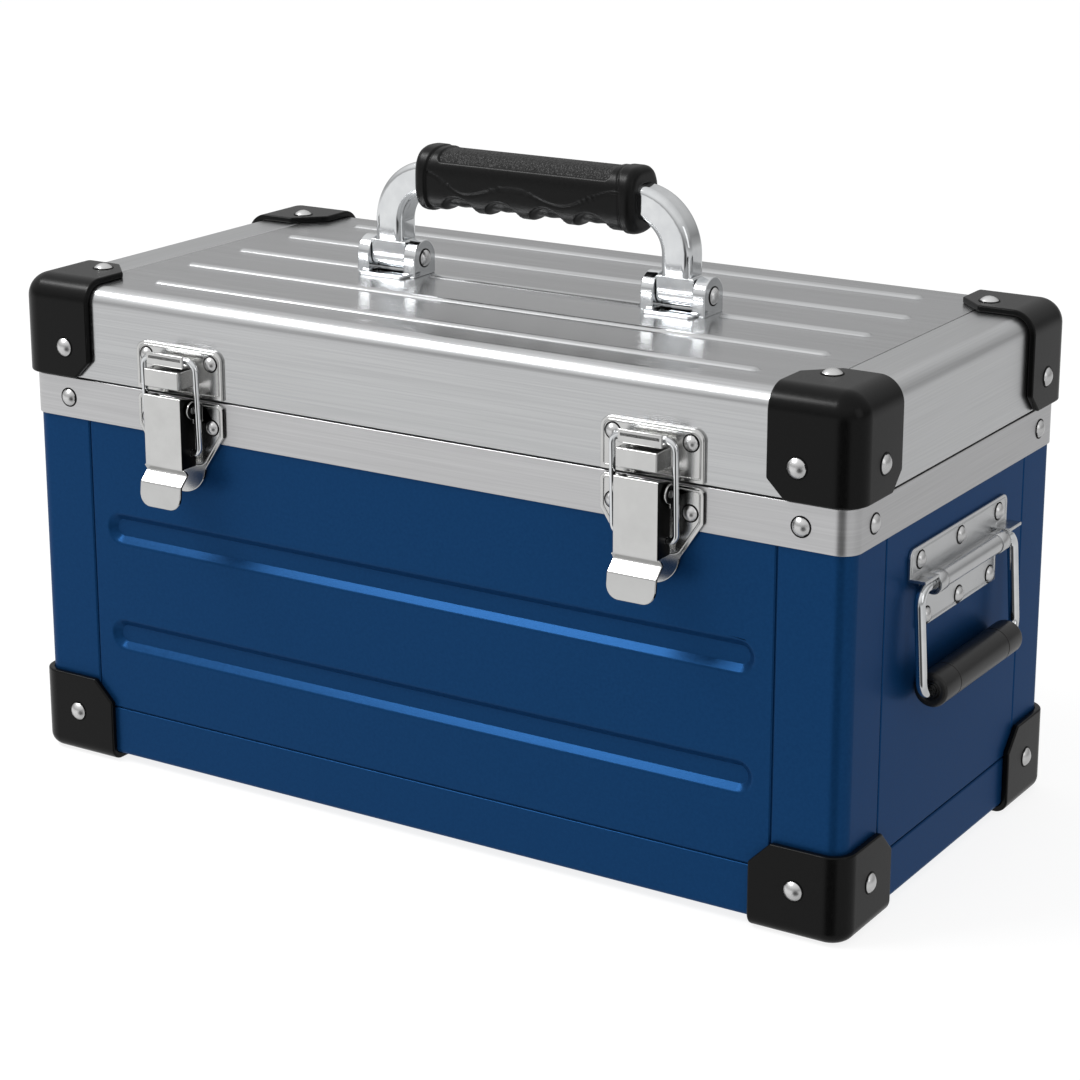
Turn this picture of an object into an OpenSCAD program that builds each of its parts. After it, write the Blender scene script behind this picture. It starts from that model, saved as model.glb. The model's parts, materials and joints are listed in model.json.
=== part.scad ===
// Portable steel tool box with a hinged aluminium lid, a folding carrying handle,
// two toggle latches and two drop handles. Millimetres, +X to the right, +Y to the back, +Z up.

/* [Case] */
// Length of the case over its metal band
case_w = 420; // [360:1:510]
// Depth of the case over its metal band
case_d = 205; // [170:1:250]
// Height of the painted body, without the band
body_h = 161.5; // [130:0.5:200]
// Height of the metal band round the top of the body
band_h = 19; // [17:0.5:26]
// Thickness of the metal band
band_t = 1; // [0.8:0.1:1.2]
// Thickness of the painted steel sheets
sheet_t = 1; // [0.8:0.1:1.2]
// Radius of the upright corners
corner_r = 8.5; // [8:0.5:12]
// Height of the bottom pan's skirt
skirt_h = 23.3; // [20:0.1:26]
// Radius of the fold under the bottom pan
pan_edge_r = 3; // [2:0.5:4]
// Width of a corner post on the long sides, from the corner
post_front_w = 33; // [30:0.5:36]
// Width of a corner post on the ends, from the corner
post_end_w = 33; // [32.5:0.5:38]
// Width of the joggled edge that each panel tucks behind its neighbours
flange_w = 8; // [6:0.5:8]
// Open line between neighbouring painted sheets
joint_gap = 0.5; // [0.3:0.1:0.8]

/* [Pressed beads] */
// Length of a bead in the front and rear panels
bead_l = 336; // [250:1:338]
// Height of a bead at the face of the panel
bead_h = 14.6; // [10:0.2:18]
// Depth of a bead
bead_depth = 3; // [1.5:0.1:4]
// Width of the sloped wall of a bead
bead_slope = 3.4; // [1.5:0.1:4]
// Height of the lower bead above the floor
bead_low_z = 63.5; // [50:0.5:70]
// Height of the upper bead above the floor
bead_high_z = 115; // [100:0.5:125]

/* [Lid] */
// Height of the lid
lid_h = 42.7; // [38:0.1:60]
// Radius of the lid's top edges
lid_edge_r = 8; // [6:0.5:8]
// Thickness of the lid sheet
lid_t = 1.2; // [1:0.1:1.5]
// Gap between the band and the lid
seam_gap = 0.8; // [0.6:0.1:1.2]
// Distance of each lid end cap's seam from the end of the lid
cap_w = 27; // [25:0.5:27.5]
// Number of ribs pressed in the lid top
rib_count = 5; // [3:2:7]
// Spacing of the ribs
rib_pitch = 38.5; // [24:0.5:40]
// Length of the inner ribs
rib_l = 334; // [250:1:338]
// How much shorter the front and rear ribs are at each end
rib_step = 12; // [0:1:20]
// Width of a rib
rib_w = 6; // [4:0.5:8]
// Height of a rib
rib_h = 1.4; // [0.8:0.1:2]
// Width of the foam seal inside the lid's rim
seal_w = 4.5; // [3:0.5:5]
// Height of the foam seal above the lid's lower edge
seal_h = 3.7; // [3:0.1:4]

/* [Corner guards] */
// Wall of the moulded corner guards
guard_t = 3; // [2:0.25:4]
// Width of a lid guard over its outside faces
lid_guard_w = 40; // [39:0.5:46]
// Width of a foot guard over its outside faces
foot_guard_w = 44; // [42:0.5:48]
// Height of a foot guard above the floor
foot_guard_h = 39; // [34:0.5:45]
// Chamfer on the corners of a lid guard
lid_guard_cut = 8; // [5:0.5:10]
// Chamfer on the corners of a foot guard
foot_guard_cut = 10; // [6:0.5:12]
// Chamfer on the inner corner of a guard's flat plate
plate_cut = 13; // [6:0.5:14]

/* [Rivets] */
// Radius of the rivet shanks
shank_r = 2; // [1.5:0.1:2.2]
// Head radius of the rivets in the guards
guard_head_r = 4.4; // [3.5:0.1:5]
// Head radius of the rivets in the band
band_head_r = 4.1; // [3.5:0.1:5]
// Head radius of the rivets in the drop handles' plates
plate_head_r = 3.7; // [3:0.1:3.8]
// Head radius of the rivets in the latches and hinges
latch_head_r = 3.4; // [3:0.1:3.6]
// Height of a rivet head
head_h = 2.2; // [1.5:0.1:2.5]

/* [Latches] */
// Distance of each latch from the middle of the front
latch_x = 121; // [95:1:135]
// Width of the latch plates
latch_w = 48; // [46:0.5:52]
// Thickness of the latch plates
latch_t = 1.5; // [1.2:0.1:1.8]
// Width of the lever
lever_w = 21; // [19:0.5:22]
// Thickness of the lever sheet
lever_t = 1.2; // [1:0.1:1.3]
// Distance of the lever's front face from the band
lever_out = 14; // [13:0.25:15]
// Radius of the wire bail's rod
bail_r = 1.4; // [1.2:0.1:1.5]
// Radius of the lever's pin
lever_pin_r = 1.5; // [1.2:0.1:1.7]
// Running clearance of pins in their bores, on the radius
running_gap = 0.05; // [0.02:0.01:0.1]

/* [Carrying handle] */
// Distance of each arm from the middle of the handle
arm_x = 75.5; // [70:0.5:95]
// Width of an arm, along the handle
arm_w = 15; // [12:0.5:16]
// Depth of an arm, across the handle
arm_d = 14; // [11:0.5:14]
// Height of the bar's centre line above the pivot
arm_h = 38.5; // [38:0.5:55]
// Bend radius of the bar's centre line
arm_bend_r = 22; // [18:0.5:24]
// Height of the handle's pivot above the lid
pivot_h = 8.2; // [8.2:0.1:10]
// Length of the grip
grip_l = 114; // [106:1:126]
// Depth of the grip, across the handle
grip_d = 26; // [22:0.5:27]
// Height of the grip
grip_h = 30; // [26:0.5:30]
// Clearance between each grip and the metal inside it
grip_gap = 0.1; // [0.05:0.01:0.2]
// Radius of the handle's pins
handle_pin_r = 2.5; // [2:0.1:3]

/* [Drop handles] */
// Distance between the middles of the bail's legs
drop_w = 95; // [88:1:116]
// Distance from the bail's pivot down to the middle of its grip
drop_h = 44.5; // [40:0.5:60]
// Radius of the bail's rod
drop_r = 2.4; // [2.2:0.1:2.8]
// Outer radius of the rubber grip
drop_grip_r = 7.5; // [6.5:0.25:9]
// Height of the bail's pivot above the floor
drop_z = 136.5; // [110:0.5:139]
// Distance of the bail's pivot from the end panel
drop_out = 5; // [5:0.25:7]
// Thickness of the drop handle's plate
drop_plate_t = 1.5; // [1.2:0.1:1.8]

/* [Rear hinges] */
// Distance of each hinge from the middle of the back
hinge_x = 110; // [60:1:125]
// Width of a hinge
hinge_w = 60; // [40:1:80]
// Height of each hinge leaf
hinge_leaf_h = 16; // [14:0.5:17]
// Thickness of the hinge leaves
hinge_t = 1.2; // [1:0.1:1.5]
// Outer radius of the hinge knuckles
knuckle_r = 3; // [2.8:0.1:3.2]
// Radius of the hinge pin
hinge_pin_r = 1.6; // [1.2:0.1:1.8]

/* [Hidden] */
$fn = 48;
eps = 0.01;
big = 1000;

// Levels from the floor up
base_z = guard_t;
skirt_top_z = base_z + skirt_h;
body_top_z = base_z + body_h;
band_top_z = body_top_z + band_h;
lid_z = band_top_z + seam_gap;
lid_top_z = lid_z + lid_h;
panel_top_z = band_top_z - band_t;

// Faces of the band and lid, and of the painted sheets behind the band
half_w = case_w / 2;
half_d = case_d / 2;
skin_w = half_w - band_t;
skin_d = half_d - band_t;
skin_r = corner_r - band_t;

// Latch pivots: lever pin, bail ends and hook, as distance from the band's face and height
pin_out = lever_out - 6.5;
pin_z = band_top_z - 3;
ball_out = pin_out - 1;
ball_z = pin_z - 20;
hook_out = pin_out + 0.5;
hook_z = band_top_z + 19;
bail_l = norm([hook_out - ball_out, hook_z - ball_z]);
bail_tilt = atan2(hook_out - ball_out, hook_z - ball_z);
bail_half = lever_w / 2 + 4.1;
lever_foot_z = ball_z - 6.5;
tab_foot_z = ball_z - 24.5;
tab_out = lever_out + 4;
ear_t = 1.5;
ear_x = lever_w / 2 + 0.5;

// Hinge axis behind the band, and the shift that centres the whole tool box on the origin
hinge_out = hinge_t + knuckle_r - 0.4;
hinge_z = band_top_z + seam_gap / 2;
case_shift_y = (tab_out - hinge_out - knuckle_r) / 2;

// Carrying handle
pivot_z = lid_top_z + pivot_h;
bracket_w = arm_w + 17;
cheek_t = 6.3;
cheek_r = 8.5;
eye_r = 6.2;
arm_foot = 7.5;
bar_z = pivot_z + arm_h;
bar_edge_r = 3.5;

// Drop handles
drop_x = skin_w + drop_out;
drop_rest_tilt = asin(max(0, drop_grip_r + 0.4 - drop_out) / drop_h);
drop_barrel_l = drop_w - 24;
drop_barrel_r = drop_r + 1.9;
drop_bend_r = 6.5;
drop_plate_w = drop_w + 3;

// Ribs are arcs of a circle that stands above the lid sheet
rib_arc_r = (rib_w * rib_w / 4 + rib_h * rib_h) / (2 * rib_h);

blue = "#14366a";
black = "#1b1b1c";
steel = "#c4c6c8";
alu = "#b9bbbc";
chrome = "#dcdee0";

// ---- helpers ----

// Everything is drawn about the middle of the case, then centred as a whole
module at_case() { translate([0, case_shift_y, 0]) children(); }

// The children are drawn for the right rear corner and mirrored to the one that is asked for
module at_corner(sx, sy) {
    mirror([sx < 0 ? 1 : 0, 0, 0]) mirror([0, sy < 0 ? 1 : 0, 0]) children();
}

module each_corner() { for (sx = [-1, 1], sy = [-1, 1]) at_corner(sx, sy) children(); }

// Section of a folded sheet: a flat on y = 0, an outside edge radius, then an upright
module fold_2d(width, height, edge_r, t) {
    square([width - edge_r, t]);
    translate([width - t, edge_r]) square([t, height - edge_r]);
    translate([width - edge_r, edge_r]) intersection() {
        difference() {
            circle(edge_r);
            circle(edge_r - t);
        }
        translate([0, -edge_r]) square(edge_r);
    }
}

// A section (x outwards from the corner's axis, y up) along a straight run or round a corner
module run(length) { rotate([90, 0, 0]) linear_extrude(length, center = true) children(); }
module turn() { rotate_extrude(angle = 90) children(); }

module all_round(w, d, r) {
    signs = [[1, 1], [-1, 1], [-1, -1], [1, -1]];
    for (k = [0:3]) {
        across = k % 2 == 0 ? w / 2 : d / 2;
        along = k % 2 == 0 ? d - 2 * r : w - 2 * r;
        rotate([0, 0, 90 * k]) translate([across - r, 0, 0]) run(along) children();
        translate([signs[k].x * (w / 2 - r), signs[k].y * (d / 2 - r), 0]) rotate([0, 0, 90 * k]) turn() children();
    }
}

// Rectangle with four rounded corners, centred
module round_rect_2d(w, h, r) {
    square([w - 2 * r, h], center = true);
    square([w, h - 2 * r], center = true);
    for (sx = [-1, 1], sy = [-1, 1]) translate([sx * (w / 2 - r), sy * (h / 2 - r)]) circle(r);
}

// Cap of a sphere on z = 0
module dome(r, h) {
    ball_r = (r * r + h * h) / (2 * h);
    difference() {
        translate([0, 0, h - ball_r]) sphere(ball_r);
        translate([-big / 2, -big / 2, -big]) cube(big);
    }
}

// Rivet with its head on z = 0, or the hole for it
module rivet(head_r, grip, hole = false) {
    tail_r = shank_r + 0.9;
    tail_h = 1;
    if (hole) {
        translate([0, 0, -grip - 1]) cylinder(r = shank_r + running_gap, h = grip + 2);
    } else {
        dome(head_r, head_h);
        translate([0, 0, -grip - eps]) cylinder(r = shank_r, h = grip + 2 * eps);
        translate([0, 0, -grip - tail_h]) cylinder(r = tail_r, h = tail_h);
    }
}

module facing_front() { rotate([90, 0, 0]) children(); }
module facing_rear() { rotate([-90, 0, 0]) children(); }
module facing_right() { rotate([0, 90, 0]) children(); }

// ---- rivets, each set also as the holes that it needs ----

module set_of_band_rivets(hole = false) {
    grip = band_t + sheet_t;
    z = body_top_z + band_h / 2;
    each_corner() {
        translate([half_w - 22.5, half_d, z]) facing_rear() rivet(band_head_r, grip, hole);
        translate([half_w, half_d - 19.5, z]) facing_right() rivet(band_head_r, grip, hole);
    }
}

module set_of_foot_rivets(hole = false) {
    face = guard_t - band_t;
    grip = guard_t + sheet_t;
    z = base_z + 18;
    each_corner() {
        translate([half_w - 21, half_d + face, z]) facing_rear() rivet(guard_head_r, grip, hole);
        translate([half_w + face, half_d - 22, z]) facing_right() rivet(guard_head_r, grip, hole);
    }
}

module set_of_lid_guard_rivets(hole = false) {
    z = lid_z + 14;
    each_corner() {
        translate([half_w - 23.5, half_d + guard_t, z]) facing_rear() rivet(guard_head_r, guard_t + 2 * lid_t, hole);
        translate([half_w + guard_t, half_d - 21, z]) facing_right() rivet(guard_head_r, guard_t + lid_t, hole);
        translate([half_w - 23.5, half_d - 26, lid_top_z + guard_t])
            rivet(guard_head_r, guard_t + 2 * lid_t, hole);
    }
}

module set_of_latch_rivets(z, behind, hole = false) {
    for (side = [-1, 1], s = [-1, 1])
        translate([side * latch_x + s * (latch_w / 2 - 6), -half_d - latch_t, z])
            facing_front() rivet(latch_head_r, latch_t + behind, hole);
}

module set_of_base_rivets(hole = false) { set_of_latch_rivets(band_top_z - 11.5, band_t + sheet_t, hole); }
module set_of_keeper_rivets(hole = false) { set_of_latch_rivets(lid_z + 16.7, lid_t, hole); }

module set_of_hinge_rivets(z, behind, hole = false) {
    for (side = [-1, 1], s = [-1, 0, 1])
        translate([side * hinge_x + s * (hinge_w / 2 - 8), half_d + hinge_t, z])
            facing_rear() rivet(latch_head_r, hinge_t + behind, hole);
}

module set_of_lower_hinge_rivets(hole = false) {
    set_of_hinge_rivets(hinge_z - hinge_leaf_h + 5, band_t + sheet_t, hole);
}

module set_of_upper_hinge_rivets(hole = false) { set_of_hinge_rivets(hinge_z + hinge_leaf_h - 5, lid_t, hole); }

module set_of_drop_rivets(hole = false) {
    rows = [[drop_z + 11, drop_plate_w / 2 - 9.5], [drop_z - 15.2, drop_plate_w / 2 - 17]];
    for (side = [-1, 1], row = rows, s = [-1, 0, 1])
        at_corner(side, 1) translate([skin_w + drop_plate_t, s * row[1], row[0]])
            facing_right() rivet(plate_head_r, drop_plate_t + sheet_t, hole);
}

// ---- painted body ----

// Bottom pan with its skirt
module base_pan() {
    r = skin_r;
    color(blue) at_case() difference() {
        union() {
            all_round(2 * skin_w, 2 * skin_d, r) translate([0, base_z]) fold_2d(r, skirt_h, pan_edge_r, sheet_t);
            translate([-skin_w + r, -skin_d + r, base_z]) cube([2 * (skin_w - r), 2 * (skin_d - r), sheet_t]);
        }
        set_of_foot_rivets(true);
    }
}

// Long trough with round ends and sloped walls that goes from y = 0 inwards
module bead(length, height, slope, depth) {
    straight = length - height;
    for (s = [-1, 1]) translate([s * straight / 2, 0, 0]) rotate([-90, 0, 0])
        cylinder(r1 = height / 2, r2 = height / 2 - slope, h = depth);
    rotate([90, 0, 90]) linear_extrude(straight, center = true)
        polygon([[0, -height / 2], [depth, -height / 2 + slope], [depth, height / 2 - slope], [0, height / 2]]);
}

// Flat panel with its outer face on y = 0 and joggled edges at both sides and below
module panel(width) {
    z0 = skirt_top_z + joint_gap;
    tall = panel_top_z - z0;
    lap = 4;
    translate([-width / 2, 0, z0]) cube([width, sheet_t, tall]);
    difference() {
        translate([-width / 2 - flange_w, sheet_t, z0 - flange_w]) cube([width + 2 * flange_w, sheet_t, tall + flange_w]);
        translate([-width / 2 + lap, 0, z0 + lap]) cube([width - 2 * lap, big, big]);
    }
}

module long_panel() {
    wall = 0.8 * sheet_t;
    difference() {
        union() {
            panel(case_w - 2 * post_front_w - 2 * joint_gap);
            for (z = [bead_low_z, bead_high_z]) translate([0, 0, z])
                bead(bead_l + 2 * wall, bead_h + 2 * wall, bead_slope, bead_depth + sheet_t);
        }
        for (z = [bead_low_z, bead_high_z]) translate([0, -eps, z]) bead(bead_l, bead_h, bead_slope, bead_depth);
    }
}

module front_panel() {
    color(blue) at_case() difference() {
        translate([0, -skin_d, 0]) long_panel();
        set_of_base_rivets(true);
    }
}

module rear_panel() {
    color(blue) at_case() difference() {
        translate([0, skin_d, 0]) rotate([0, 0, 180]) long_panel();
        set_of_lower_hinge_rivets(true);
    }
}

module end_panel(side) {
    color(blue) at_case() difference() {
        translate([side * skin_w, 0, 0]) rotate([0, 0, side * 90]) panel(case_d - 2 * post_end_w - 2 * joint_gap);
        set_of_drop_rivets(true);
    }
}

module end_panel_left() { end_panel(-1); }
module end_panel_right() { end_panel(1); }

// Angle-section post that wraps one corner between the skirt and the band's top
module corner_post(sx, sy) {
    z0 = skirt_top_z + joint_gap;
    tall = panel_top_z - z0;
    axis_x = skin_w - skin_r;
    axis_y = skin_d - skin_r;
    color(blue) at_case() difference() {
        at_corner(sx, sy) {
            translate([axis_x, axis_y, 0]) turn() translate([skin_r - sheet_t, z0]) square([sheet_t, tall]);
            translate([half_w - post_front_w, skin_d - sheet_t, z0])
                cube([axis_x - half_w + post_front_w, sheet_t, tall]);
            translate([skin_w - sheet_t, half_d - post_end_w, z0])
                cube([sheet_t, axis_y - half_d + post_end_w, tall]);
        }
        set_of_band_rivets(true);
    }
}

module corner_post_front_left() { corner_post(-1, -1); }
module corner_post_front_right() { corner_post(1, -1); }
module corner_post_rear_left() { corner_post(-1, 1); }
module corner_post_rear_right() { corner_post(1, 1); }

// Metal band of angle section that closes the top of the body
module top_band() {
    ledge = 6;
    color(steel) at_case() difference() {
        all_round(case_w, case_d, corner_r) {
            translate([corner_r - band_t, body_top_z]) square([band_t, band_h]);
            translate([corner_r - ledge, band_top_z - band_t]) square([ledge, band_t]);
        }
        set_of_band_rivets(true);
        set_of_base_rivets(true);
        set_of_lower_hinge_rivets(true);
    }
}

module band_rivets() { color(chrome) at_case() set_of_band_rivets(); }

// ---- corner guards ----

// Three-sided shell for a corner: the plate lies under (or over) the box and two walls turn up (or down)
module guard_shell(face_x, face_y, r, edge_r, width, tall) {
    t = guard_t;
    out_r = r + t;
    axis_x = face_x - r;
    axis_y = face_y - r;
    leg = width - out_r;
    translate([axis_x, axis_y, 0]) turn() fold_2d(out_r, tall, edge_r, t);
    translate([axis_x, axis_y - leg / 2, 0]) run(leg) fold_2d(out_r, tall, edge_r, t);
    translate([axis_x - leg / 2, axis_y, 0]) rotate([0, 0, 90]) run(leg) fold_2d(out_r, tall, edge_r, t);
    translate([axis_x - leg, axis_y - leg, 0]) cube([leg, leg, t]);
}

// Wedges that cut the corners of both walls at their free edge, and of the flat plate
module guard_cuts(face_x, face_y, width, tall, cut, top_cut) {
    x0 = face_x + guard_t - width;
    y0 = face_y + guard_t - width;
    side = sqrt(2);
    translate([x0, 0, tall]) rotate([0, 45, 0]) cube([cut * side, big, cut * side], center = true);
    translate([0, y0, tall]) rotate([45, 0, 0]) cube([big, cut * side, cut * side], center = true);
    translate([x0, y0, 0]) rotate([0, 0, 45]) cube([top_cut * side, top_cut * side, 3 * guard_t], center = true);
}

module foot_guard(sx, sy) {
    color(black) at_case() difference() {
        at_corner(sx, sy) difference() {
            guard_shell(skin_w, skin_d, skin_r, pan_edge_r + guard_t, foot_guard_w, foot_guard_h);
            guard_cuts(skin_w, skin_d, foot_guard_w, foot_guard_h, foot_guard_cut, plate_cut);
        }
        set_of_foot_rivets(true);
    }
}

module foot_guard_front_left() { foot_guard(-1, -1); }
module foot_guard_front_right() { foot_guard(1, -1); }
module foot_guard_rear_left() { foot_guard(-1, 1); }
module foot_guard_rear_right() { foot_guard(1, 1); }
module foot_rivets() { color(chrome) at_case() set_of_foot_rivets(); }

module lid_guard(sx, sy) {
    tall = lid_h + guard_t;
    color(black) at_case() difference() {
        at_corner(sx, sy) translate([0, 0, lid_top_z + guard_t]) mirror([0, 0, 1]) difference() {
            guard_shell(half_w, half_d, corner_r, lid_edge_r + guard_t, lid_guard_w, tall);
            guard_cuts(half_w, half_d, lid_guard_w, tall, lid_guard_cut, plate_cut);
        }
        set_of_lid_guard_rivets(true);
    }
}

module lid_guard_front_left() { lid_guard(-1, -1); }
module lid_guard_front_right() { lid_guard(1, -1); }
module lid_guard_rear_left() { lid_guard(-1, 1); }
module lid_guard_rear_right() { lid_guard(1, 1); }
module lid_guard_rivets() { color(chrome) at_case() set_of_lid_guard_rivets(); }

// ---- lid ----

// Solid section of the lid across its depth, with rounded top edges
module lid_block_2d(inset, drop = 0) {
    w = case_d - 2 * inset;
    r = lid_edge_r - inset;
    tall = lid_h - inset;
    translate([-w / 2, -drop]) square([w, tall - r + drop]);
    translate([-w / 2 + r, 0]) square([w - 2 * r, tall]);
    for (s = [-1, 1]) translate([s * (w / 2 - r), tall - r]) circle(r);
}

// Sheet section at a given layer: 0 is the outer sheet, 1 lies against its inside
module lid_sheet_2d(layer, skirt_lift = 0) {
    difference() {
        lid_block_2d(layer * lid_t);
        lid_block_2d((layer + 1) * lid_t, 1);
        translate([-big / 2, -big + skirt_lift]) square(big);
    }
}

// A lid section along X, from x0 to x1
module along_lid(x0, x1) {
    translate([x0, 0, lid_z]) rotate([90, 0, 90]) linear_extrude(x1 - x0) children();
}

module rib(length) {
    straight = length - rib_w;
    sink = rib_arc_r - rib_h;
    translate([0, 0, lid_top_z - sink]) difference() {
        union() {
            rotate([0, 90, 0]) cylinder(r = rib_arc_r, h = straight, center = true);
            for (s = [-1, 1]) translate([s * straight / 2, 0, 0]) sphere(rib_arc_r);
        }
        translate([-big / 2, -big / 2, -big + sink - lid_t / 2]) cube(big);
    }
}

// Clear space for the brackets where the middle rib stops
module bracket_space() {
    for (s = [-1, 1]) translate([s * arm_x, 0, lid_top_z])
        linear_extrude(big) round_rect_2d(bracket_w + 8, 34, 4);
}

module lid_sheet() {
    middle = (rib_count - 1) / 2;
    edge = half_w - cap_w;
    color(alu) at_case() difference() {
        union() {
            along_lid(-edge, edge) lid_sheet_2d(0);
            difference() {
                for (i = [-middle:middle]) translate([0, i * rib_pitch, 0])
                    rib(abs(i) == middle ? rib_l - 2 * rib_step : rib_l);
                bracket_space();
            }
        }
        set_of_keeper_rivets(true);
        set_of_upper_hinge_rivets(true);
        set_of_bracket_screws(true);
    }
}

// End cap of the lid, with a tongue that goes under the lid sheet
module lid_end(side) {
    edge = half_w - cap_w + joint_gap;
    tongue = 12;
    lap = 7;
    axis_x = half_w - corner_r;
    color(alu) at_case() difference() {
        at_corner(side, 1) {
            along_lid(edge, axis_x) lid_sheet_2d(0);
            along_lid(edge - tongue, edge + lap) lid_sheet_2d(1, seal_h + 2);
            translate([axis_x, 0, 0]) run(case_d - 2 * corner_r) lid_rim_2d();
            for (s = [-1, 1]) mirror([0, s < 0 ? 1 : 0, 0])
                translate([axis_x, half_d - corner_r, 0]) turn() lid_rim_2d();
        }
        set_of_lid_guard_rivets(true);
    }
}

module lid_rim_2d() { translate([0, lid_top_z]) mirror([0, 1]) fold_2d(corner_r, lid_h, lid_edge_r, lid_t); }

module lid_end_left() { lid_end(-1); }
module lid_end_right() { lid_end(1); }

// Foam seal that sits inside the rim and stops just above the band
module lid_seal() {
    clear = 0.3;
    outer = corner_r - lid_t;
    color(black) at_case() all_round(case_w, case_d, corner_r)
        translate([outer - seal_w, band_top_z + clear]) square([seal_w, seam_gap - clear + seal_h]);
}

// ---- toggle latches ----

module at_latch(side) { translate([side * latch_x, -half_d, 0]) children(); }

// A section drawn as (distance from the band, height), extruded across the latch
module across_latch(width) {
    rotate([90, 0, -90]) linear_extrude(width, center = true) children();
}

// A front view drawn as (across, height), extruded outwards from the band
module out_of_latch(from, to) { translate([0, -from, 0]) facing_front() linear_extrude(to - from) children(); }

// Plate on the band with the two ears that carry the lever
module latch_base(side) {
    top = band_top_z - 0.4;
    shoulder_z = top - 15;
    neck_z = top - 31;
    neck_x = 13.2;
    half = latch_w / 2;
    r = 3;
    ear_r = 4;
    color(steel) at_case() difference() {
        at_latch(side) {
            out_of_latch(0, latch_t) {
                polygon([[-neck_x, neck_z], [neck_x, neck_z], [half, shoulder_z], [half, top - r],
                         [half - r, top - r], [half - r, top], [-half + r, top], [-half + r, top - r],
                         [-half, top - r], [-half, shoulder_z]]);
                for (s = [-1, 1]) translate([s * (half - r), top - r]) circle(r);
                translate([0, neck_z + 1]) circle(neck_x);
            }
            for (s = [-1, 1]) translate([s * (ear_x + ear_t / 2), 0, 0]) across_latch(ear_t) {
                translate([0, pin_z - 6]) square([pin_out, 8]);
                translate([pin_out, pin_z]) circle(ear_r);
            }
        }
        set_of_base_rivets(true);
        at_latch(side) translate([0, -pin_out, pin_z]) rotate([0, 90, 0])
            cylinder(r = lever_pin_r, h = 2 * (ear_x + 2 * ear_t), center = true);
    }
}

module latch_base_left() { latch_base(-1); }
module latch_base_right() { latch_base(1); }
module latch_base_rivets() { color(chrome) at_case() set_of_base_rivets(); }

// Pins that the levers turn on, held by the ears
module latch_pins() {
    color(chrome) at_case() for (side = [-1, 1]) at_latch(side)
        translate([0, -pin_out, pin_z]) rotate([0, 90, 0])
            cylinder(r = lever_pin_r, h = 2 * (ear_x + ear_t + 0.2), center = true);
}

// Channel-section lever with a flared thumb tab
module latch_lever(side) {
    cheek_top = lever_out - lever_t;
    back = 4;
    hub_r = 5;
    top_z = pin_z + 6;
    tab_half = lever_w / 2 + 1;
    tab_r = 6;
    crease_z = lever_foot_z - 2.5;
    flare_z = crease_z - 4.6;
    color(steel) at_case() at_latch(side) difference() {
        union() {
            across_latch(lever_w) translate([cheek_top, lever_foot_z]) square([lever_t, top_z - lever_foot_z]);
            for (s = [-1, 1]) translate([s * (lever_w - lever_t) / 2, 0, 0]) across_latch(lever_t) {
                polygon([[back, lever_foot_z], [lever_out, lever_foot_z], [lever_out, top_z], [cheek_top, top_z],
                         [pin_out, pin_z + hub_r], [back, pin_z]]);
                translate([pin_out, pin_z]) circle(hub_r);
            }
            intersection() {
                across_latch(2 * tab_half) polygon([[lever_out, lever_foot_z], [lever_out - 1.8, crease_z],
                    [lever_out + 2.8, flare_z], [tab_out, tab_foot_z], [tab_out - 1.3, tab_foot_z],
                    [lever_out + 1.4, flare_z - 0.4], [lever_out - 3.6, crease_z], [cheek_top, lever_foot_z]]);
                out_of_latch(0, 2 * tab_out) {
                    translate([-tab_half, tab_foot_z + tab_r]) square([2 * tab_half, pin_z - tab_foot_z]);
                    translate([-tab_half + tab_r, tab_foot_z]) square([2 * (tab_half - tab_r), tab_r + eps]);
                    for (s = [-1, 1]) translate([s * (tab_half - tab_r), tab_foot_z + tab_r]) circle(tab_r);
                }
            }
        }
        translate([0, -pin_out, pin_z]) rotate([0, 90, 0])
            cylinder(r = lever_pin_r + running_gap, h = 2 * lever_w, center = true);
        translate([0, -ball_out, ball_z]) rotate([0, 90, 0])
            cylinder(r = bail_r + running_gap, h = 2 * lever_w, center = true);
    }
}

module latch_lever_left() { latch_lever(-1); }
module latch_lever_right() { latch_lever(1); }

// Rod of radius r from a bend's end, as an arc of 90 degrees in the XZ plane about the bend's centre
module rod_bend(r, bend_r) { rotate([90, 0, 0]) rotate_extrude(angle = 90) translate([bend_r, 0]) circle(r); }

// Wire bail: its ends turn in the lever's cheeks, its top bar lies in the keeper's hook
module latch_bail(side) {
    top_bend = 4.5;
    foot_bend = 3.5;
    end_x = lever_w / 2 - lever_t - 1.5;
    color(chrome) at_case() at_latch(side) translate([0, -ball_out, ball_z]) rotate([bail_tilt, 0, 0]) {
        translate([0, 0, bail_l]) rotate([0, 90, 0])
            cylinder(r = bail_r, h = 2 * (bail_half - top_bend), center = true);
        for (s = [-1, 1]) mirror([s < 0 ? 1 : 0, 0, 0]) {
            translate([bail_half - top_bend, 0, bail_l - top_bend]) mirror([0, 1, 0]) rod_bend(bail_r, top_bend);
            translate([bail_half, 0, foot_bend]) cylinder(r = bail_r, h = bail_l - top_bend - foot_bend);
            translate([bail_half - foot_bend, 0, foot_bend]) mirror([0, 0, 1]) rod_bend(bail_r, foot_bend);
            translate([end_x, 0, 0]) rotate([0, 90, 0]) cylinder(r = bail_r, h = bail_half - foot_bend - end_x);
        }
    }
}

module latch_bail_left() { latch_bail(-1); }
module latch_bail_right() { latch_bail(1); }

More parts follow.
